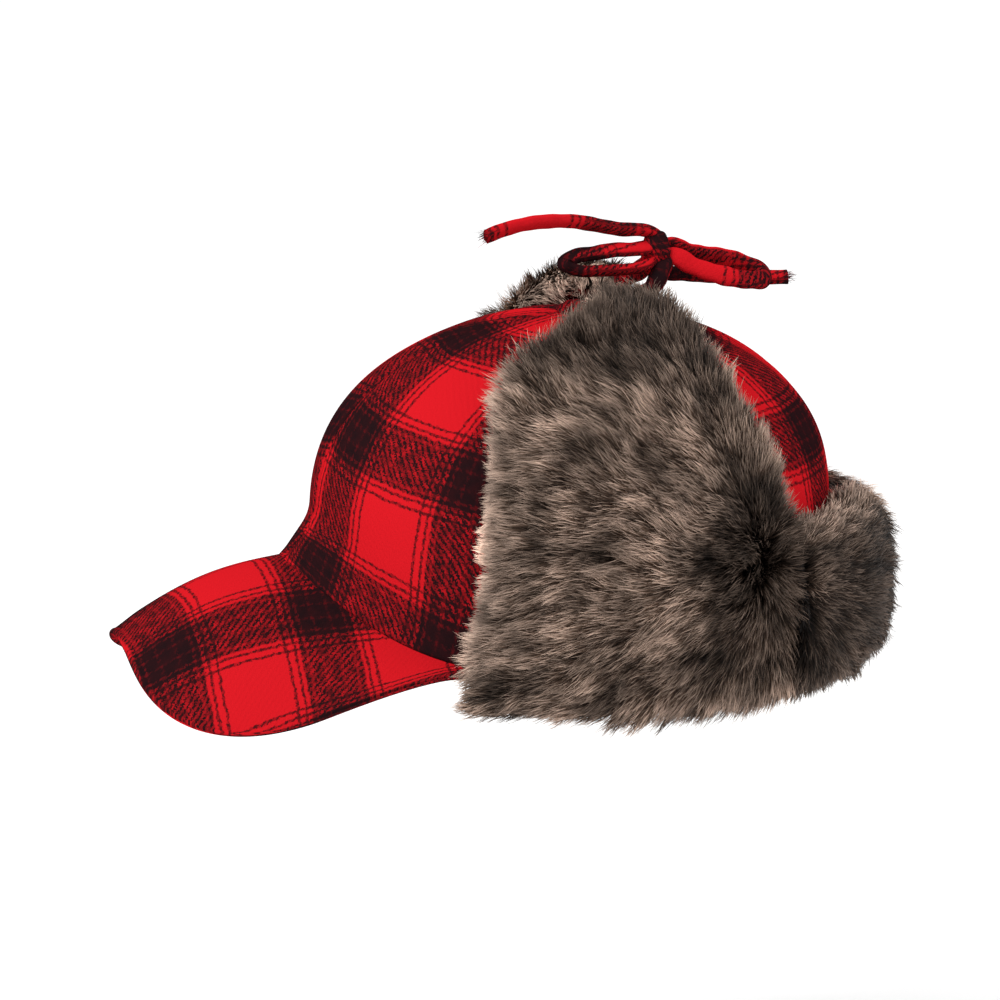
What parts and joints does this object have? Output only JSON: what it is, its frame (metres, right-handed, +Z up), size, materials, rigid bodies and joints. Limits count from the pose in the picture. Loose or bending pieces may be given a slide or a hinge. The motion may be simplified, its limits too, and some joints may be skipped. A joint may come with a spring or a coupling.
{
  "type": "trapper hat",
  "caption": "Winter hat with a sewn plaid cloth crown, a curved covered brim, and fur-faced ear and neck flaps that fold up and tie over the crown.",
  "frame": {"origin": "centre of the head opening, at the level of the lower edge of the crown's sides", "axes": "+Z is up out of the crown's top, the brim points along -Y, +X is the wearer's left"},
  "size_m": [0.2008, 0.3055, 0.1857],
  "materials": {
    "crown_cloth": "brushed wool-blend plaid twill, red and black, matte with a soft nap",
    "brim_cloth": "brushed wool-blend plaid twill, red and black, stretched over the board",
    "flap_cloth": "brushed wool-blend plaid twill, red and black",
    "tie_cloth": "the same plaid twill sewn into a soft narrow tube with raw frayed ends",
    "button_cloth": "plaid twill drawn over a button form",
    "fur": "long-pile faux fur, grey-brown with near-black roots and pale tips, soft sheen",
    "padding": "white polyester wadding",
    "lining": "black quilted satin lining, soft sheen",
    "sweatband": "black ribbed cotton tape, matte",
    "brim_board": "plain polyethylene sheet, matte",
    "button_metal": "plain steel button back"
  },
  "bodies": {
    "crown": {"crown_front_left": "crown_cloth", "crown_front_right": "crown_cloth", "crown_side_left": "crown_cloth", "crown_side_right": "crown_cloth", "crown_back_left": "crown_cloth", "crown_back_right": "crown_cloth", "top_button": "button_cloth", "button_shank": "button_metal", "crown_lining": "lining", "sweatband": "sweatband", "brim_top_cloth": "brim_cloth", "brim_board": "brim_board", "brim_under_cloth": "brim_cloth"},
    "left_ear_flap": {"left_ear_cloth": "flap_cloth", "left_ear_padding": "padding", "left_ear_fur": "fur", "left_tie": "tie_cloth", "tie_knot": "tie_cloth"},
    "right_ear_flap": {"right_ear_cloth": "flap_cloth", "right_ear_padding": "padding", "right_ear_fur": "fur", "right_tie": "tie_cloth"},
    "neck_flap_middle": {"neck_middle_cloth": "flap_cloth", "neck_middle_padding": "padding", "neck_middle_fur": "fur"},
    "neck_flap_left": {"neck_left_cloth": "flap_cloth", "neck_left_padding": "padding", "neck_left_fur": "fur"},
    "neck_flap_right": {"neck_right_cloth": "flap_cloth", "neck_right_padding": "padding", "neck_right_fur": "fur"}
  },
  "joints": [
    {"name": "left_ear_fold", "type": "hinge", "parent": "crown", "child": "left_ear_flap", "pos_m": [0.084, 0, -0.004], "axis": [0, 1, 0], "range_deg": [0, 165]},
    {"name": "right_ear_fold", "type": "hinge", "parent": "crown", "child": "right_ear_flap", "pos_m": [-0.084, 0, -0.004], "axis": [0, -1, 0], "range_deg": [0, 165]},
    {"name": "neck_fold", "type": "hinge", "parent": "crown", "child": "neck_flap_middle", "pos_m": [0, 0.1, -0.004], "axis": [-1, 0, 0], "range_deg": [0, 160]},
    {"name": "neck_fold_left", "type": "hinge", "parent": "crown", "child": "neck_flap_left", "pos_m": [0.0568, 0.0755, -0.004], "axis": [-0.6889, 0.7249, 0], "range_deg": [0, 160]},
    {"name": "neck_fold_right", "type": "hinge", "parent": "crown", "child": "neck_flap_right", "pos_m": [-0.0568, 0.0755, -0.004], "axis": [-0.6889, -0.7249, 0], "range_deg": [0, 160]}
  ],
  "couplings": [
    {"joint": "neck_fold_left", "follows": "neck_fold", "ratio": 1},
    {"joint": "neck_fold_right", "follows": "neck_fold", "ratio": 1}
  ]
}
